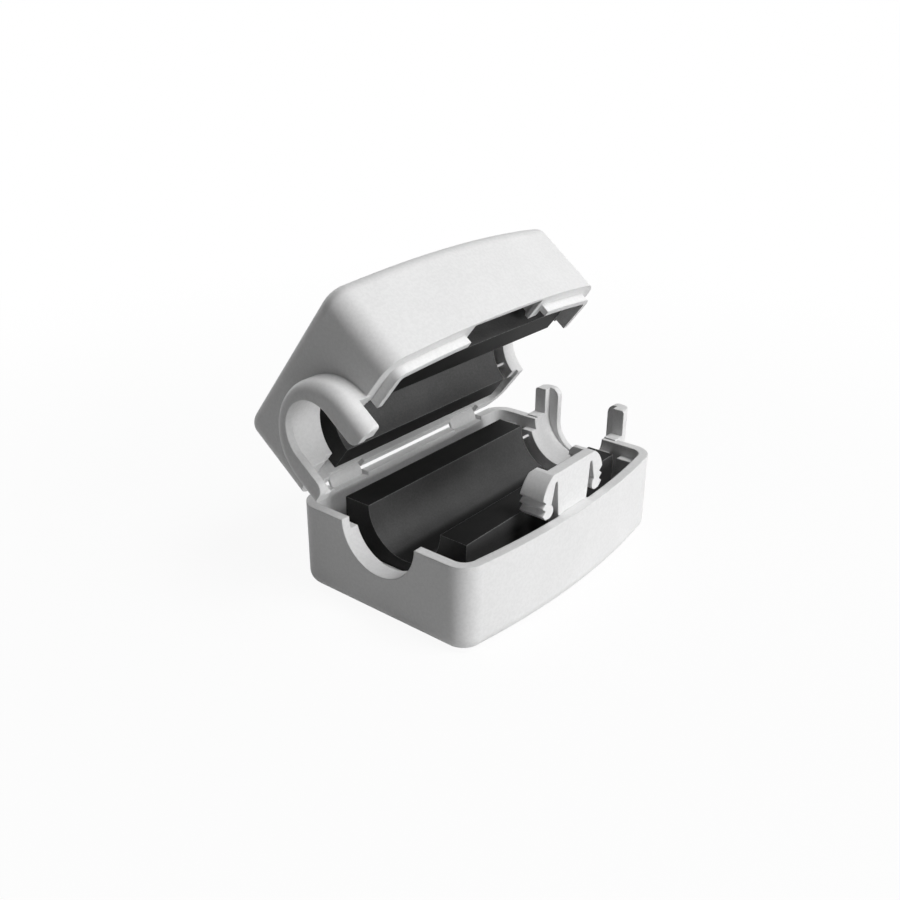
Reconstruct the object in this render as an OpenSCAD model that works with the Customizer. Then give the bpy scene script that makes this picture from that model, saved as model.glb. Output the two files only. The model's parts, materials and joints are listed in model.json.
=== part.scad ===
// Clip on ferrite bead: two moulded case halves on film hinge straps, each holding
// half of a split ferrite core, shut by a toothed latch, with a cable collar at each end.
// Sizes are in millimetres. The origin lies on the base under the middle of the cable bore,
// X runs along the cable, Y runs from the latch to the hinge, Z is up.
// Each half is drawn standing on its base with its rim up. The lid is then turned over
// onto the base half and swung open about the hinge.

/* [Case] */
// Length of the case along the cable
case_length = 40; // [32:1:50]
// From the bore axis to the back face
case_back = 13.1; // [12.6:0.1:16]
// From the bore axis to the two ends of the front face
case_front = 12.6; // [12.5:0.1:16]
// How far the front face bows out at its middle
front_bow = 1.9; // [1.7:0.1:3]
// Height of each half from its base to its rim
half_height = 11; // [9.2:0.1:14]
// Wall and floor thickness
wall = 1.2; // [1:0.1:1.4]
// Corner radius seen from above
corner_r = 2.9; // [2.8:0.1:5]
// Radius of the edge round the base
edge_r = 1.7; // [1.6:0.1:2.5]
// Gap between the two rims when shut
rim_gap = 0.3; // [0.2:0.05:0.6]

/* [Core] */
// From the end of the case to the end of the core
core_end_gap = 4.5; // [3:0.1:6]
// Width of each core half
core_width = 18.5; // [17:0.1:18.7]
// Diameter of the cable bore
bore_d = 11; // [8:0.5:13]
// Height of the cradle floor under the core
seat_h = 1.25; // [0.6:0.05:1.8]
// Gap between the two core halves when shut
core_gap = 0.2; // [0.1:0.05:0.4]
// Chamfer along the outer long edges of a core half
core_chamfer = 1.2; // [0.5:0.1:2]
// Play between a core half and the ribs that hold it
core_clear = 0.1; // [0.05:0.05:0.3]

/* [Ribs] */
// Thickness of the half ring round each end notch
ring_wall = 1.6; // [1:0.1:1.8]
// How far the half ring and end ribs stand in from the end wall
ring_in = 1.1; // [0.6:0.1:1.3]
// How far below the rim the inner ribs of the base half stop
rib_drop = 1.5; // [1.5:0.1:3]
// How far below the rim the half rings of the lid stop
lid_ring_drop = 0.4; // [0.2:0.1:2]
// Width of an end rib
end_rib_w = 2; // [1:0.1:2.6]
// From the bore axis to the middle of an end rib
end_rib_y = 9.6; // [9:0.1:9.8]
// Spacing of the two cradle ribs
cradle_gap = 18; // [12:1:22]
// Thickness of a cradle rib
cradle_t = 1.4; // [1:0.1:2.5]
// Height of the cradle ribs beside the core
cradle_h = 5.5; // [4:0.1:8]
// Diameter of the nibs at one end of the core
nib_d = 0.4; // [0.3:0.1:1]
// Height of the floor stops at the core ends
stop_h = 4.2; // [3:0.1:5]
// Width of the floor stops
stop_w = 8; // [4:0.5:12]

/* [Latch] */
// Width of the latch plate at the rim
latch_w = 6.1; // [4:0.1:6.2]
// Thickness of the latch plate
latch_t = 1.3; // [0.9:0.1:1.6]
// Height of the latch above the rim
latch_h = 5.6; // [5.2:0.1:6.5]
// Width of the latch across its tooth tips
tooth_span = 12.6; // [12:0.1:13]
// Width of the latch across its head
head_w = 8.8; // [8.4:0.1:9]
// Height of the latch head
head_h = 1.1; // [0.8:0.1:1.4]
// Height of the top tooth above the rim
tooth_top = 3; // [2.8:0.1:3.2]
// Spacing of the latch teeth
tooth_pitch = 1; // [0.9:0.05:1]
// Depth of the latch teeth
tooth_depth = 0.6; // [0.3:0.05:0.7]
// How far the arms bow out between the head and the top tooth
arm_bow = 0.35; // [0.1:0.05:0.45]
// Depth of the toothed arms from front to back
arm_depth = 3.25; // [2.4:0.05:3.3]
// Gap between the latch and the inner face of the front wall
latch_gap = 0.3; // [0.2:0.05:0.4]
// Width of the latch pocket in the lid
pocket_w = 14.4; // [14:0.1:16]
// Skin left in front of the latch pocket
pocket_skin = 0.6; // [0.5:0.05:0.65]
// Room in the pocket past the end of the latch
pocket_clear = 1.4; // [0.8:0.1:2]
// How far the cheeks beside the pocket reach in from the front face
cheek_reach = 4; // [3.6:0.1:4.4]
// Play between the latch teeth and the catches
catch_clear = 0.2; // [0.15:0.05:0.3]

/* [Lip] */
// How far the lid lip stands past the parting plane
lip_reach = 1; // [0.6:0.1:1.3]
// Thickness of the lid lip
lip_t = 0.8; // [0.5:0.1:0.9]
// Play between the lid lip and the walls it enters
lip_clear = 0.3; // [0.2:0.05:0.4]
// From the bore axis to the back end of the lip
lip_end = 5.8; // [5.7:0.1:9]

/* [Collars] */
// How far a collar stands out from its end wall
collar_out = 3.3; // [2.8:0.1:5]
// Wall of a collar
collar_wall = 1.7; // [1.3:0.1:2]
// Radius of the outer edge of a collar
collar_round = 1.5; // [0.5:0.1:1.6]
// How far the collar arms reach past the parting plane
arm_reach = 3.6; // [2.5:0.1:5]
// Gap between the collar arms and the end wall
arm_gap = 1.2; // [0.6:0.1:1.4]
// Thickness of the grip lip at the end of a collar
grip_t = 1; // [0.5:0.1:1.2]
// How far the grip lip narrows a collar on each side
grip_in = 1.4; // [0.6:0.1:1.8]
// Radius of the arm ends on the cable side
arm_in_r = 1.2; // [0.4:0.1:1.4]
// Radius of the arm ends on the outer side
arm_out_r = 0.4; // [0.2:0.1:0.8]

/* [Hinge] */
// How far the lid stands open
open_angle = 52.5; // [20:0.5:110]
// From the back face out to the hinge axis
hinge_out = 0.15; // [0.1:0.05:0.3]
// Length of a hinge strap along the hinge
strap_l = 5.4; // [3:0.1:7]
// Thickness of a hinge strap
strap_t = 0.4; // [0.3:0.05:0.5]
// From the end of the case to the middle of a hinge strap
strap_end = 8.3; // [7.3:0.1:11]
// Depth of the rim notches that the straps stand in
notch_depth = 0.5; // [0.4:0.1:1.2]
// Slot left at each end of a hinge strap
strap_slot = 0.25; // [0.2:0.05:0.8]
// Gap between a strap and the lid as moulded
strap_clear = 0.15; // [0.1:0.05:0.3]

/* [Hidden] */
$fn = 32;
end_x = case_length / 2;
split_z = half_height + rim_gap / 2;
bore_r = bore_d / 2;
core_top = split_z - core_gap / 2;
core_bottom = wall + seat_h;
core_length = case_length - 2 * core_end_gap;
rib_top = half_height - rib_drop;
ring_r = bore_r + ring_wall;
nib_r = bore_r + ring_wall / 2;
nib_angle = 22;
stop_t = 1;
cradle_side = 1;
bow_r = (pow(end_x, 2) + pow(front_bow, 2)) / (2 * front_bow);
bow_y = bow_r - case_front - front_bow;
corner_x = end_x - corner_r;
corner_back = case_back - corner_r;
corner_front = bow_y - sqrt(pow(bow_r - corner_r, 2) - pow(corner_x, 2));
bow_angle = asin(corner_x / (bow_r - corner_r));
bow_step = 0.02;
lap = 1;
edge_lap = 0.2;
over = 1;
front_y = -case_front - front_bow;
latch_y = front_y + wall + latch_gap;
tooth_x = tooth_span / 2;
tooth_count = 3;
head_x = head_w / 2;
neck_x = head_x - 0.9;
neck_z = latch_h - head_h;
arm_lap = 0.4;
arm_taper = 0.2;
arm_chamfer = 0.35;
foot_x = tooth_x - 1.3;
foot_r = 0.85;
foot_z = 0.3;
foot_step = 0.05;
pocket_x = pocket_w / 2;
pocket_y = front_y + pocket_skin;
pocket_h = latch_h + pocket_clear;
latch_root = half_height / 2;
catch_x = tooth_x + catch_clear;
catch_t = 0.5;
catch_root = 1.2;
cheek_t = 1;
skin_lap = 0.2;
lip_inset = wall + lip_clear;
lip_root = 1.7;
lip_bury = 0.4;
collar_r = bore_r + collar_wall;
grip_r = bore_r - grip_in;
grip_step = 0.1;
grip_z = split_z - bore_r + grip_step + grip_r;
hinge_y = case_back + hinge_out;
strap_x = end_x - strap_end;
strap_rise = rim_gap / 2 + notch_depth;
strap_y = strap_rise / tan(open_angle / 2);
strap_r = strap_y + hinge_out + strap_t / 2;
bury = 0.6;

// Outline with one rounded foot, reach wide and tall high, for extruding or turning
module edge_profile(reach, edge, tall) {
  translate([0, edge]) square([reach, tall - edge]);
  square([reach - edge, tall]);
  translate([reach - edge, edge]) intersection() {
    circle(edge);
    translate([-edge_lap, -edge]) square([edge + edge_lap, 2 * edge]);
  }
}

// Block with the case's plan, a rounded foot and a bowed front, set in from the outer faces
module pan(inset, tall) {
  r = corner_r - inset;
  edge = edge_r - inset;
  for (side = [0, 1]) mirror([side, 0, 0]) {
    translate([corner_x - lap, corner_back, 0]) rotate([90, 0, 0])
      linear_extrude(corner_back - corner_front) edge_profile(r + lap, edge, tall);
    for (y = [corner_back, corner_front])
      translate([corner_x, y, 0]) rotate_extrude() edge_profile(r, edge, tall);
  }
  translate([-corner_x, corner_back - lap, 0]) rotate([90, 0, 90])
    linear_extrude(2 * corner_x) edge_profile(r + lap, edge, tall);
  linear_extrude(tall) intersection() {
    translate([-corner_x, corner_front - r]) square([2 * corner_x, corner_back - corner_front + r]);
    translate([0, bow_y]) circle(bow_r - corner_r, $fn = 240);
  }
  translate([0, bow_y, 0]) rotate(270 - bow_angle) rotate_extrude(angle = 2 * bow_angle, $fn = 240)
    translate([bow_r - corner_r - lap, 0]) edge_profile(r + lap - bow_step, edge, tall);
}

// Flat plan of the case, set in from the outer faces
module plan(inset) {
  r = corner_r - inset;
  for (side = [-1, 1]) {
    translate([side * corner_x, corner_front]) circle(r);
    translate([side * corner_x, corner_back]) circle(r);
  }
  translate([-corner_x - r, corner_front]) square([2 * corner_x + 2 * r, corner_back - corner_front]);
  intersection() {
    translate([-corner_x, front_y]) square([2 * corner_x, corner_back + r - front_y]);
    translate([0, bow_y]) circle(bow_r - inset - bow_step, $fn = 240);
  }
}

// Flat drawing in Y and Z pulled out along X from the place where x is from
module along_x(from, reach) {
  translate([from, 0, 0]) rotate([90, 0, 90]) linear_extrude(reach) children();
}

// Round rod along X
module rod(from, reach, r, y, z) {
  translate([from, y, z]) rotate([0, 90, 0]) cylinder(h = reach, r = r, $fn = 64);
}

// One core half in Y and Z
module core_outline() {
  difference() {
    polygon([
      [-core_width / 2, core_top],
      [-core_width / 2, core_bottom + core_chamfer],
      [-core_width / 2 + core_chamfer, core_bottom],
      [core_width / 2 - core_chamfer, core_bottom],
      [core_width / 2, core_bottom + core_chamfer],
      [core_width / 2, core_top]
    ]);
    translate([0, split_z]) circle(bore_r, $fn = 64);
  }
}

module core() {
  along_x(-core_length / 2, core_length) core_outline();
}

// Cross ribs on the floor that carry a core half and hold its sides
module cradle() {
  hold = core_width / 2 + core_clear;
  for (side = [-1, 1]) along_x(side * cradle_gap / 2 - cradle_t / 2, cradle_t) difference() {
    translate([-hold - cradle_side, wall - bury]) square([2 * (hold + cradle_side), cradle_h - wall + bury]);
    translate([-hold, core_bottom]) square([2 * hold, cradle_h]);
  }
}

// Half ring, end ribs and floor stop inside the end wall on the X side
module end_ribs(ring_drop) {
  ring_top = half_height - ring_drop;
  from = end_x - wall - ring_in;
  reach = ring_in + bury;
  intersection() {
    rod(from, reach, ring_r, 0, split_z);
    translate([from - over, -ring_r - over, wall]) cube([reach + 2 * over, 2 * (ring_r + over), ring_top - wall]);
  }
  for (side = [-1, 1]) {
    translate([from, side * end_rib_y - end_rib_w / 2, wall - bury])
      cube([reach, end_rib_w, rib_top - wall + bury]);
  }
  translate([core_length / 2 + core_clear, -stop_w / 2, wall - bury])
    cube([stop_t, stop_w, stop_h - wall + bury]);
}

// Nibs on the half ring on the X side that reach to the end of the core
module nibs() {
  from = core_length / 2 + core_clear;
  for (side = [-1, 1]) rod(from, end_x - wall + bury - from, nib_d / 2,
    side * nib_r * cos(nib_angle), split_z - nib_r * sin(nib_angle));
}

// Plain case half: walls cut flat at the rim, ribs, end notches for the cable
// and rim notches for the straps
module shell(ring_drop) {
  difference() {
    union() {
      difference() {
        pan(0, half_height + over);
        translate([0, 0, wall]) pan(wall, half_height + over);
        translate([-case_length, -case_length, half_height])
          cube([2 * case_length, 2 * case_length, 2 * over]);
      }
      cradle();
      for (side = [0, 1]) mirror([side, 0, 0]) end_ribs(ring_drop);
      nibs();
    }
    rod(-end_x - over, case_length + 2 * over, bore_r, 0, split_z);
    for (side = [-1, 1])
      translate([side * strap_x - strap_l / 2 - strap_slot, case_back - wall - over, half_height - notch_depth])
        cube([strap_l + 2 * strap_slot, wall + 2 * over, notch_depth + over]);
  }
}

// Cable collar on the end wall on the X side: half ring, two arms and a grip lip
module collar() {
  tall = collar_out + bury;
  difference() {
    union() {
      translate([end_x - bury, 0, split_z]) rotate([90, 0, 90]) rotate(180)
        rotate_extrude(angle = 180, $fn = 64) collar_section(0, tall);
      intersection() {
        translate([end_x, 0, split_z]) linear_extrude(arm_reach) for (side = [0, 1])
          mirror([0, side]) rotate(90) mirror([0, 1]) collar_section(arm_gap, collar_out);
        along_x(end_x, collar_out + over) for (side = [0, 1]) mirror([side, 0]) arm_outline();
      }
    }
    along_x(end_x - wall - over, wall + over + collar_out - grip_t) slot(bore_r, split_z);
    along_x(end_x, collar_out + over) slot(grip_r, grip_z);
  }
}

// Section of a collar: radius across, from the wall outwards upwards, with a rounded outer edge
module collar_section(from, tall) {
  intersection() {
    translate([0, from]) square([collar_r, tall - from]);
    union() {
      square([collar_r, tall - collar_round]);
      square([collar_r - collar_round, tall]);
      translate([collar_r - collar_round, tall - collar_round]) circle(collar_round);
    }
  }
}

// One collar arm in Y and Z with a rounded end
module arm_outline() {
  foot = split_z - over;
  tall = arm_reach + over;
  translate([grip_r, foot]) square([collar_r - grip_r - arm_out_r, tall - arm_in_r]);
  translate([grip_r + arm_in_r, foot]) square([collar_r - grip_r - arm_in_r, tall - arm_out_r]);
  translate([grip_r + arm_in_r, foot]) square([collar_r - grip_r - arm_in_r - arm_out_r, tall]);
  translate([grip_r + arm_in_r, foot + tall - arm_in_r]) circle(arm_in_r);
  translate([collar_r - arm_out_r, foot + tall - arm_out_r]) circle(arm_out_r);
}

// Slot with a round foot, open upwards, in Y and Z
module slot(r, z) {
  translate([0, z]) circle(r, $fn = 64);
  translate([-r, z]) square([2 * r, split_z + arm_reach + over - z]);
}

// Front view of one toothed latch arm, X across and Z up from the rim
module arm_front() {
  dip = tooth_x - tooth_depth;
  teeth = [for (i = [0 : tooth_count - 1]) [
    [tooth_x, tooth_top - i * tooth_pitch],
    [dip, tooth_top - (i + 0.5) * tooth_pitch]
  ]];
  dip_z = tooth_top - tooth_pitch / 2;
  slope = tooth_pitch / 2 / tooth_depth;
  run = tooth_x - head_x;
  drop = latch_h - tooth_top;
  chord = sqrt(pow(run, 2) + pow(drop, 2));
  r = pow(chord, 2) / (8 * arm_bow) + arm_bow / 2;
  back = (r - arm_bow) / chord;
  polygon([
    [head_x - arm_lap - arm_taper, latch_h],
    [head_x - arm_taper, latch_h],
    teeth[0][1],
    each teeth[1],
    teeth[2][0],
    [foot_x + foot_r - arm_taper, foot_z + foot_step],
    [foot_x, foot_z + foot_step],
    [foot_x - 0.25, foot_z + 1.2],
    [foot_x - 0.5, foot_z + 1.8],
    [neck_x + arm_lap, neck_z],
    [neck_x, neck_z]
  ]);
  intersection() {
    translate([head_x + run / 2 - back * drop, latch_h - drop / 2 - back * run]) circle(r, $fn = 96);
    polygon([
      [head_x - arm_lap, latch_h],
      [tooth_x + over, latch_h],
      [tooth_x + over, tooth_top + over * slope],
      [dip, dip_z],
      [foot_x, dip_z]
    ]);
  }
  translate([foot_x, foot_z + foot_r]) circle(foot_r);
}

// Side view of a toothed arm, Y across from its front face and Z up from the rim
module arm_side() {
  polygon([
    [0, 0],
    [0, latch_h],
    [arm_depth - arm_taper - arm_chamfer, latch_h],
    [arm_depth - arm_taper, latch_h - arm_chamfer],
    [arm_depth, tooth_top],
    [arm_depth, 0]
  ]);
}

// Toothed latch: plate standing on the front wall with a barbed arm on each side
module latch() {
  half = latch_w / 2;
  translate([0, latch_y + latch_t, half_height]) rotate([90, 0, 0]) linear_extrude(latch_t)
    for (side = [0, 1]) mirror([side, 0]) polygon([
      [-lap, -latch_root],
      [half, -latch_root],
      [half, foot_z],
      [neck_x, neck_z],
      [neck_x + arm_lap, neck_z],
      [head_x - arm_taper, latch_h],
      [-lap, latch_h]
    ]);
  translate([-half, front_y + wall - bury, half_height - latch_root])
    cube([latch_w, latch_gap + bury + latch_t / 2, latch_root - foot_step]);
  for (side = [0, 1]) mirror([side, 0, 0]) intersection() {
    translate([0, latch_y + arm_depth, half_height]) rotate([90, 0, 0]) linear_extrude(arm_depth) arm_front();
    translate([0, latch_y, half_height]) along_x(latch_w / 2, tooth_span) arm_side();
  }
}

// Lip of the lid along the front and the front part of both ends
module lip() {
  inner = lip_inset + lip_t;
  intersection() {
    union() {
      translate([0, 0, half_height - lip_root]) linear_extrude(lip_root) difference() {
        plan(wall - lip_bury);
        plan(inner);
      }
      translate([0, 0, half_height - lip_root]) linear_extrude(lip_root + rim_gap / 2 + lip_reach) difference() {
        plan(lip_inset);
        plan(inner);
      }
    }
    for (side = [0, 1]) mirror([side, 0, 0])
      translate([pocket_x + lip_clear, front_y, 0]) cube([end_x, -lip_end - front_y, 2 * half_height]);
  }
}

// Cheek beside the latch pocket with its catch, on the X side
module cheek() {
  back = front_y + cheek_reach;
  from = front_y + wall - bury / 3;
  translate([pocket_x, from, half_height - pocket_h]) cube([cheek_t, back - from, pocket_h]);
  translate([0, back, half_height]) rotate([90, 0, 0]) linear_extrude(back - pocket_y + skin_lap) polygon([
    [pocket_x + skin_lap, 0],
    [catch_x, 0],
    [catch_x, -catch_t],
    [pocket_x + skin_lap, -catch_root]
  ]);
}

// Moves a half drawn on its base into the lid's place
module as_lid() {
  translate([0, hinge_y, split_z]) rotate([-open_angle, 0, 0]) translate([0, -hinge_y, split_z])
    mirror([0, 0, 1]) children();
}

module lower_case() {
  color("gainsboro") {
    shell(rib_drop);
    collar();
    latch();
  }
}

module upper_case() {
  color("gainsboro") as_lid() {
    difference() {
      shell(lid_ring_drop);
      translate([-pocket_x, pocket_y, half_height - pocket_h])
        cube([pocket_w, wall + latch_gap + latch_t, pocket_h + over]);
    }
    mirror([1, 0, 0]) collar();
    lip();
    for (side = [0, 1]) mirror([side, 0, 0]) cheek();
  }
}

module lower_core() {
  color("dimgray") core();
}

module upper_core() {
  color("dimgray") as_lid() core();
}

// Film strap standing in the base half's rim notch and bent towards the lid
module hinge_strap(x) {
  bend = open_angle - asin(strap_clear / strap_r);
  color("gainsboro") translate([x - strap_l / 2, hinge_y + strap_y, split_z - strap_rise])
    rotate([90, 0, 90]) rotate(180 - bend) rotate_extrude(angle = bend, $fn = 64)
      translate([strap_r - strap_t / 2, 0]) square([strap_t, strap_l]);
}

module hinge_strap_left() {
  hinge_strap(-strap_x);
}

module hinge_strap_right() {
  hinge_strap(strap_x);
}

lower_case();
upper_case();
lower_core();
upper_core();
hinge_strap_left();
hinge_strap_right();
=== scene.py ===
import json
import math
import bpy
from mathutils import Matrix, Vector


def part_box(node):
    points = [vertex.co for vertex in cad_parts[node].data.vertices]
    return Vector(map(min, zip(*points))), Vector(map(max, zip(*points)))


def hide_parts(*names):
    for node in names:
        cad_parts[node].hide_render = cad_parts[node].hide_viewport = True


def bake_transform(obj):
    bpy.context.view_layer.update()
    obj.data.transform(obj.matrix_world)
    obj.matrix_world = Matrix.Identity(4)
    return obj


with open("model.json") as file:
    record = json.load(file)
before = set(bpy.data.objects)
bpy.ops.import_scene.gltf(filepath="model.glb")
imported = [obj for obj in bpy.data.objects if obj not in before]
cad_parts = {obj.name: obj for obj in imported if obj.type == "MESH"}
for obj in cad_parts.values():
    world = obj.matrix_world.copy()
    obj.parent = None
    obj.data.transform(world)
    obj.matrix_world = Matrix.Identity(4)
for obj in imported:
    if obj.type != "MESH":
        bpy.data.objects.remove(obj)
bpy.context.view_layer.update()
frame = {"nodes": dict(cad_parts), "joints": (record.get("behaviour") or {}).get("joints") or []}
nodes = frame["nodes"]
MM = 0.001

# The hinge line and the angle that the lid stands open at rest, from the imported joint
lid_joint = frame["joints"][0]
HINGE = Vector(lid_joint["pos_m"])
OPEN = -math.radians(lid_joint["range_deg"][0])

# Film straps: thickness, feet below the hinge line, turn into each notch, steps of the sweep
FILM_T = 0.4 * MM
FILM_FOOT = 0.65 * MM
FILM_SINK = math.radians(3)
FILM_STEPS = 18

# Soft edges of the straps: width, steps, the angle that counts as an edge, and points that are merged
FILM_SOFT = 0.12 * MM
FILM_SOFT_STEPS = 3
FILM_EDGE_ANGLE = math.radians(40)
FILM_SMOOTH_ANGLE = math.radians(35)
SWEEP_MERGE = 0.001 * MM
SOFT_MERGE = 0.002 * MM

# Noise sizes, in waves to the metre, and the spans of noise that run from dark to light
FLOW_CLOUDS = 110.0
MOULD_SPECKS = 2600.0
SPARK_GRAIN = 5200.0
FIRED_CLOUDS = 160.0
CORE_GRIT = 3800.0
CLOUD_SPAN = (0.3, 0.7)
SPECK_SPAN = (0.35, 0.65)
GRIT_SPAN = (0.3, 0.75)

# Radius of the softened edges, samples for them, and depth of the grain
CASE_EDGE = 0.22 * MM
STRAP_EDGE = 0.12 * MM
CORE_EDGE = 0.18 * MM
EDGE_SAMPLES = 6
GRAIN_DEPTH = 0.06 * MM

# Moulded plastic: greys, their spread, shares in the tone, the roughness and the grain, and gloss
CASE_GREY = 0.80
# The straps are the case's own plastic; their lower grey is painted shade for the shade near the hinge
STRAP_PAINTED_SHADE_GREY = 0.72
PLASTIC_DARK = 0.955
PLASTIC_LIGHT = 1.04
PLASTIC_CLOUDS = 0.4
PLASTIC_SPECKS = 0.6
PLASTIC_ROUGH = 0.45
PLASTIC_ROUGH_SPECKS = 0.14
PLASTIC_ROUGH_CLOUDS = 0.06
PLASTIC_GRAIN = 0.7
PLASTIC_GRAIN_SPECKS = 0.3
PLASTIC_BUMP = 0.10
PLASTIC_SPECULAR = 0.28

# Ferrite: greys of the fired skin, the ground faces and the lighter edges, which are partly wear and
# partly a painted highlight, and the level of each core, which is painted light on the lid's core and
# painted shade on the base's
FIRED_DARK = 0.042
FIRED_LIGHT = 0.076
GROUND_DARK = 0.010
GROUND_LIGHT = 0.019
EDGE_WEAR_AND_HIGHLIGHT_GREY = 0.19
# The lid's core is painted lighter and the base's darker, for how light falls on each bore: painted
# light and painted shade on one ferrite
BASE_CORE_PAINTED_SHADE = 0.9
LID_CORE_PAINTED_LIGHT = 1.3
CORE_CLOUDS = 0.45
CORE_SPECKS = 0.55

# Ferrite: how squarely a ground face points, how far the ends are darkened toward the ground tone, and
# where edges turn lighter from wear and a painted highlight
GROUND_SPAN = (0.93, 0.99)
END_SHARE = 0.55
EDGE_WEAR_AND_HIGHLIGHT_SPAN = (0.015, 0.14)
EDGE_WEAR_AND_HIGHLIGHT_LEAST = 0.45
EDGE_WEAR_AND_HIGHLIGHT_SPECKS = 0.9
CORE_LENGTHWISE = (1, 0, 0)
BASE_LAND = (0, 0, 1)
LID_LAND = (0, -math.sin(OPEN), -math.cos(OPEN))

# Ferrite: roughness, coat, grain and gloss
CORE_ROUGH = 0.62
CORE_ROUGH_GROUND = 0.14
CORE_ROUGH_GRIT = 0.12
CORE_COAT = 0.55
CORE_COAT_GROUND = 0.50
CORE_COAT_ROUGH = 0.38
CORE_BUMP = 0.18
CORE_SPECULAR = 0.06

# Floor: size in metres, greys for the part's light and for the camera, and white from near to far
FLOOR_SIZE = 8.0
FLOOR_ROUGH = 0.9
FLOOR_SPECULAR = 0.1
FLOOR_GREY = 0.63
FLOOR_PALE = 0.95
FLOOR_WHITE_NEAR = 0.93
FLOOR_WHITE_GAIN = 0.07
FLOOR_WHITE_SPAN = (0.03, 0.16)
WHITE = 1.0
FILL_LIGHT = 0.03

# Lamps: name, place, size in metres and power in watts, all aimed at the middle of the part
LAMP_AIM = (0, 0, 0.015)
LAMPS = (
    ("high_key", (0.105, -0.322, 0.558), 0.30, 2.5),
    ("low_front", (0.077, -0.625, 0.126), 0.30, 2.15),
    ("back_soft", (0.10, 0.60, 0.17), 0.40, 0.9),
)

# The photograph's camera: place, angles in degrees, focal length and image width in pixels
CAMERA_PLACE = Vector((-93.384, -70.083, 67.92)) * MM
CAMERA_AZIMUTH = -50.932
CAMERA_ELEVATION = 24.636
CAMERA_ROLL = 0.264
CAMERA_FOCAL = 1032.4
PHOTO_WIDTH = 900
SENSOR_WIDTH = 36.0
CAMERA_NEAR = 5 * MM


class Wire:
    """A shader socket that adds Math nodes when it is used in an expression."""

    def __init__(self, tree, socket):
        self.tree = tree
        self.socket = socket

    def node(self, kind, settings=None, out=0, **inputs):
        """Adds a node: its settings first, then its sockets' values or links, by name or as i0, i1."""
        made = self.tree.nodes.new(kind)
        for key, value in (settings or {}).items():
            setattr(made, key, value)
        for key, value in inputs.items():
            target = made.inputs[int(key[1:]) if key[1:].isdigit() else key]
            if isinstance(value, Wire):
                self.tree.links.new(value.socket, target)
            else:
                target.default_value = value
        return Wire(self.tree, made.outputs[out])

    def math(self, operation, first, second=0.0):
        """A Math node on one or two values."""
        return self.node("ShaderNodeMath", {"operation": operation}, i0=first, i1=second)

    def __add__(self, other):
        return self.math("ADD", self, other)

    def __radd__(self, other):
        return self.math("ADD", other, self)

    def __sub__(self, other):
        return self.math("SUBTRACT", self, other)

    def __rsub__(self, other):
        return self.math("SUBTRACT", other, self)

    def __mul__(self, other):
        return self.math("MULTIPLY", self, other)

    def __rmul__(self, other):
        return self.math("MULTIPLY", other, self)

    def between(self, low, high):
        """0 below low, 1 above high, smooth between."""
        smooth = {"interpolation_type": "SMOOTHSTEP"}
        return self.node("ShaderNodeMapRange", smooth, i0=self, i1=low, i2=high, i3=0.0, i4=1.0)

    def mix(self, first, second):
        """The colour first where this is 0 and second where it is 1."""
        # Mix has sockets of one name for each kind of value, so its colour sockets go by number
        return self.node("ShaderNodeMix", {"data_type": "RGBA"}, out=2, i0=self, i6=first, i7=second)

    def dot(self, other):
        """How far this direction points along another one: 1 along it, 0 across it."""
        product = {"operation": "DOT_PRODUCT"}
        return self.node("ShaderNodeVectorMath", product, out="Value", i0=self, i1=other)

    def noise(self, scale, detail, rough):
        """Noise at this place, with scale in waves to the metre."""
        return self.node("ShaderNodeTexNoise", Vector=self, Scale=scale, Detail=detail, Roughness=rough)


def new_material(name):
    """A material with its surface shader, and a wire to add its nodes from."""
    material = bpy.data.materials.new(name)
    material.use_nodes = True
    tree = material.node_tree
    shader = tree.nodes["Principled BSDF"]
    return material, shader, Wire(tree, None)


def grey(level):
    """A grey colour, as a linear share of white."""
    return (level, level, level, 1.0)


def feed(wire, target, socket):
    """Links a wire to a socket of a shader or an output node."""
    wire.tree.links.new(wire.socket, target.inputs[socket])


def moulded_plastic(name, level, edge):
    """Pale satin plastic with a fine spark grain, faint flow clouds and softened edges."""
    material, shader, start = new_material(name)
    place = start.node("ShaderNodeTexCoord", out="Object")
    clouds = place.noise(FLOW_CLOUDS, detail=3.0, rough=0.55)
    specks = place.noise(MOULD_SPECKS, detail=2.0, rough=0.6)
    grain = place.noise(SPARK_GRAIN, detail=2.0, rough=0.65)
    tone = PLASTIC_CLOUDS * clouds.between(*CLOUD_SPAN) + PLASTIC_SPECKS * specks.between(*SPECK_SPAN)
    feed(tone.mix(grey(level * PLASTIC_DARK), grey(level * PLASTIC_LIGHT)), shader, "Base Color")
    rough = PLASTIC_ROUGH + PLASTIC_ROUGH_SPECKS * specks + PLASTIC_ROUGH_CLOUDS * clouds
    feed(rough, shader, "Roughness")
    soft = start.node("ShaderNodeBevel", {"samples": EDGE_SAMPLES}, Radius=edge)
    height = PLASTIC_GRAIN * grain + PLASTIC_GRAIN_SPECKS * specks
    bump = start.node(
        "ShaderNodeBump", Strength=PLASTIC_BUMP, Distance=GRAIN_DEPTH, Height=height, Normal=soft
    )
    feed(bump, shader, "Normal")
    shader.inputs["Specular IOR Level"].default_value = PLASTIC_SPECULAR
    return material


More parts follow.
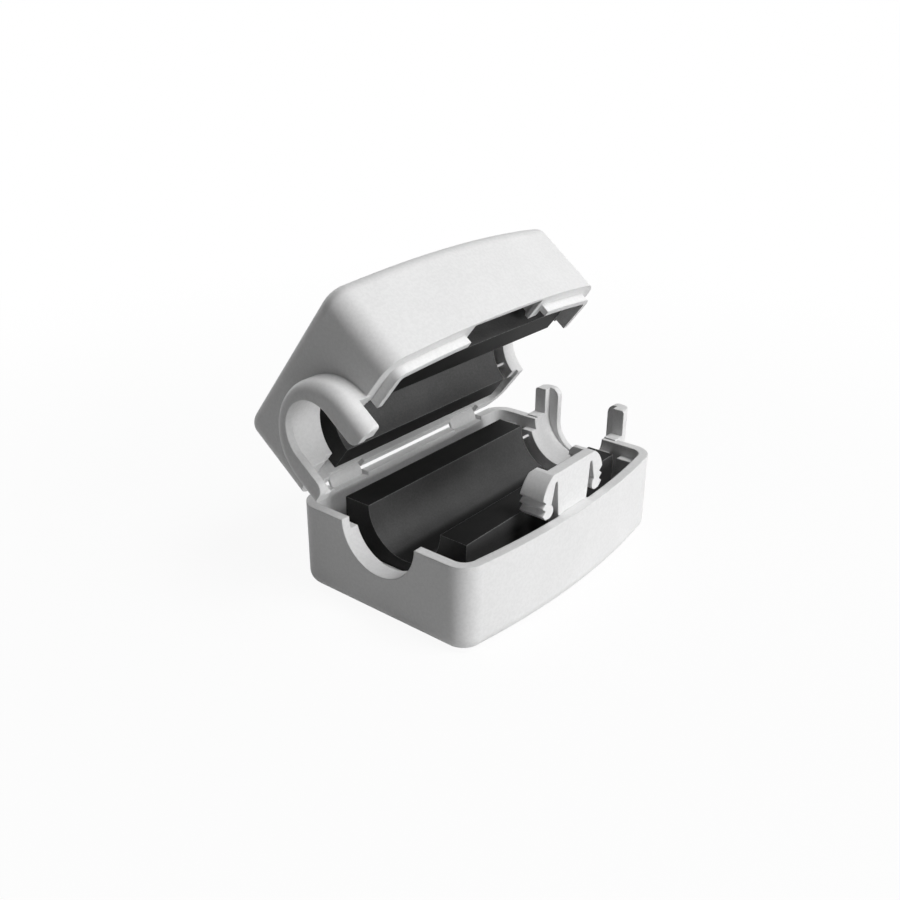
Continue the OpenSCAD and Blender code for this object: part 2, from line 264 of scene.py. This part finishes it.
def ferrite(name, land, level):
    """Sintered ferrite: charcoal fired skin, edges lighter from wear and from a painted highlight,
    darker ends, lands that face along land, and a level of painted light and shade for the whole core.
    """
    material, shader, start = new_material(name)
    place = start.node("ShaderNodeTexCoord", out="Object")
    facing = start.node("ShaderNodeTexCoord", out="Normal")
    lands = facing.dot(land).between(*GROUND_SPAN)
    # The ends take END_SHARE of the darker ground tone, roughness and coat
    ends = start.math("ABSOLUTE", facing.dot(CORE_LENGTHWISE)).between(*GROUND_SPAN)
    ground = start.math("MAXIMUM", lands, END_SHARE * ends)
    clouds = place.noise(FIRED_CLOUDS, detail=4.0, rough=0.6)
    grit = place.noise(CORE_GRIT, detail=3.0, rough=0.7)
    tone = CORE_CLOUDS * clouds.between(*CLOUD_SPAN) + CORE_SPECKS * grit.between(*GRIT_SPAN)
    # level lifts or lowers the fired skin of the whole core: painted light and painted shade, not a
    # different ferrite
    fired = tone.mix(grey(level * FIRED_DARK), grey(level * FIRED_LIGHT))
    cut = tone.mix(grey(GROUND_DARK), grey(GROUND_LIGHT))
    soft = start.node("ShaderNodeBevel", {"samples": EDGE_SAMPLES}, Radius=CORE_EDGE)
    flat = start.node("ShaderNodeNewGeometry", out="True Normal")
    # Edges turn lighter: partly chalky wear, partly a painted highlight along the edges
    bend = 1.0 - soft.dot(flat)
    wear_and_highlight = bend.between(*EDGE_WEAR_AND_HIGHLIGHT_SPAN) * (EDGE_WEAR_AND_HIGHLIGHT_LEAST + EDGE_WEAR_AND_HIGHLIGHT_SPECKS * grit.between(*SPECK_SPAN))
    feed(wear_and_highlight.mix(ground.mix(fired, cut), grey(EDGE_WEAR_AND_HIGHLIGHT_GREY)), shader, "Base Color")
    feed(CORE_ROUGH - CORE_ROUGH_GROUND * ground + CORE_ROUGH_GRIT * grit, shader, "Roughness")
    feed(CORE_COAT - CORE_COAT_GROUND * ground, shader, "Coat Weight")
    shader.inputs["Coat Roughness"].default_value = CORE_COAT_ROUGH
    bump = start.node(
        "ShaderNodeBump", Strength=CORE_BUMP, Distance=GRAIN_DEPTH, Height=grit, Normal=soft
    )
    feed(bump, shader, "Normal")
    shader.inputs["Specular IOR Level"].default_value = CORE_SPECULAR
    return material


def dress(name, material):
    """Gives a CAD node one material all over."""
    node = nodes[name]
    node.data.materials.clear()
    node.data.materials.append(material)
    for face in node.data.polygons:
        face.material_index = 0


case_plastic = moulded_plastic("case_plastic", CASE_GREY, CASE_EDGE)
# Hinge film: a darker copy of the case plastic, painted shade near the hinge
hinge_film = moulded_plastic("hinge_film", STRAP_PAINTED_SHADE_GREY, STRAP_EDGE)
for case_half in ("lower_case", "upper_case"):
    dress(case_half, case_plastic)
dress("lower_core", ferrite("ferrite_base_painted_shade", BASE_LAND, BASE_CORE_PAINTED_SHADE))
dress("upper_core", ferrite("ferrite_lid_painted_light", LID_LAND, LID_CORE_PAINTED_LIGHT))


def merge_points(distance):
    """Merges all the points of the mesh in edit mode that lie closer than distance."""
    bpy.ops.mesh.select_all(action="SELECT")
    bpy.ops.mesh.remove_doubles(threshold=distance)


def film_strap(name, node):
    """Film of the hinge: a bar swept from the base half's notch to the lid's, with soft edges."""
    low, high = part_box(node)
    middle = (low.x + high.x) / 2
    foot = HINGE.z - FILM_FOOT
    pivot_y = HINGE.y + FILM_FOOT / math.tan(OPEN / 2)
    front_y = low.y + FILM_T / 2
    bpy.ops.object.select_all(action="DESELECT")
    bpy.ops.mesh.primitive_plane_add(size=1.0)
    film = bpy.context.object
    film.name = name
    bpy.ops.object.mode_set(mode="EDIT")
    bpy.ops.transform.resize(value=(high.x - low.x, FILM_T, 1.0))
    bpy.ops.transform.translate(value=(middle, front_y, foot))
    pivot = Vector((middle, pivot_y, foot))
    bpy.ops.transform.rotate(value=-FILM_SINK, orient_axis="X", center_override=pivot)
    bpy.ops.mesh.spin(steps=FILM_STEPS, angle=OPEN + 2 * FILM_SINK, center=pivot, axis=(1, 0, 0))
    merge_points(SWEEP_MERGE)
    bpy.ops.mesh.normals_make_consistent(inside=False)
    bpy.ops.object.mode_set(mode="OBJECT")
    soft = film.modifiers.new("soft_edges", "BEVEL")
    soft.width = FILM_SOFT
    soft.segments = FILM_SOFT_STEPS
    soft.limit_method = "ANGLE"
    soft.angle_limit = FILM_EDGE_ANGLE
    bpy.ops.object.modifier_apply(modifier=soft.name)
    bpy.ops.object.mode_set(mode="EDIT")
    merge_points(SOFT_MERGE)
    bpy.ops.object.mode_set(mode="OBJECT")
    bpy.ops.object.shade_smooth_by_angle(angle=FILM_SMOOTH_ANGLE)
    film.data.materials.append(hinge_film)
    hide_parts(node)
    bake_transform(film)


film_strap("film_hinge_left", "hinge_strap_left")
film_strap("film_hinge_right", "hinge_strap_right")


def backdrop_share(start):
    """1 for rays that find the white backdrop: from the camera, in gloss or through glass."""
    seen = start.node("ShaderNodeLightPath", out="Is Camera Ray")
    shine = start.node("ShaderNodeLightPath", out="Is Glossy Ray")
    through = start.node("ShaderNodeLightPath", out="Is Transmission Ray")
    return start.math("MAXIMUM", seen, start.math("MAXIMUM", shine, through))


def studio_floor():
    """Wide pale floor that keeps the shadow and shows white to the camera."""
    bpy.ops.object.select_all(action="DESELECT")
    bpy.ops.mesh.primitive_plane_add(size=FLOOR_SIZE, location=(0, 0, 0))
    floor = bpy.context.object
    floor.name = "studio_floor"
    material, shader, start = new_material("floor_white")
    shader.inputs["Roughness"].default_value = FLOOR_ROUGH
    shader.inputs["Specular IOR Level"].default_value = FLOOR_SPECULAR
    share = backdrop_share(start)
    feed(share.mix(grey(FLOOR_GREY), grey(FLOOR_PALE)), shader, "Base Color")
    glow = start.node("ShaderNodeEmission", Color=grey(WHITE), Strength=WHITE)
    place = start.node("ShaderNodeTexCoord", out="Object")
    away = start.node("ShaderNodeVectorMath", {"operation": "LENGTH"}, out="Value", i0=place)
    whiter = FLOOR_WHITE_NEAR + FLOOR_WHITE_GAIN * away.between(*FLOOR_WHITE_SPAN)
    base = Wire(material.node_tree, shader.outputs[0])
    both = start.node("ShaderNodeMixShader", i0=whiter * share, i1=base, i2=glow)
    surface = material.node_tree.nodes["Material Output"]
    feed(both, surface, "Surface")
    floor.data.materials.append(material)


def studio_world():
    """Faint even fill light on the part, and a white backdrop for the camera."""
    world = bpy.data.worlds.new("studio_world")
    bpy.context.scene.world = world
    world.use_nodes = True
    start = Wire(world.node_tree, None)
    share = backdrop_share(start)
    fill = start.node("ShaderNodeBackground", Color=grey(WHITE), Strength=FILL_LIGHT)
    white = start.node("ShaderNodeBackground", Color=grey(WHITE), Strength=WHITE)
    both = start.node("ShaderNodeMixShader", i0=share, i1=fill, i2=white)
    surface = world.node_tree.nodes["World Output"]
    feed(both, surface, "Surface")


def softbox(name, place, size, power):
    """Square soft lamp at place, turned to the part, in metres and watts."""
    lamp = bpy.data.lights.new(name, "AREA")
    lamp.size = size
    lamp.energy = power
    holder = bpy.data.objects.new(name, lamp)
    bpy.context.collection.objects.link(holder)
    holder.location = place
    holder.rotation_euler = (Vector(LAMP_AIM) - Vector(place)).to_track_quat("-Z", "Y").to_euler()


def photo_camera():
    """Camera that sees the part as the photograph does."""
    azimuth = math.radians(CAMERA_AZIMUTH)
    elevation = math.radians(CAMERA_ELEVATION)
    roll = math.radians(CAMERA_ROLL)
    level = math.cos(elevation)
    back = Vector((math.sin(azimuth) * level, -math.cos(azimuth) * level, math.sin(elevation)))
    right = Vector((0, 0, 1)).cross(back).normalized()
    up = back.cross(right)
    right_rolled = math.cos(roll) * right + math.sin(roll) * up
    up_rolled = math.cos(roll) * up - math.sin(roll) * right
    camera = bpy.data.cameras.new("photo_camera")
    camera.sensor_width = SENSOR_WIDTH
    camera.lens = CAMERA_FOCAL / PHOTO_WIDTH * SENSOR_WIDTH
    camera.clip_start = CAMERA_NEAR
    holder = bpy.data.objects.new("photo_camera", camera)
    bpy.context.collection.objects.link(holder)
    turned = Matrix((right_rolled, up_rolled, back)).transposed().to_4x4()
    holder.matrix_world = Matrix.Translation(CAMERA_PLACE) @ turned
    bpy.context.scene.camera = holder


studio_floor()
studio_world()
for lamp_name, lamp_place, lamp_size, lamp_power in LAMPS:
    softbox(lamp_name, lamp_place, lamp_size, lamp_power)
photo_camera()
bpy.context.scene.view_settings.view_transform = "Standard"
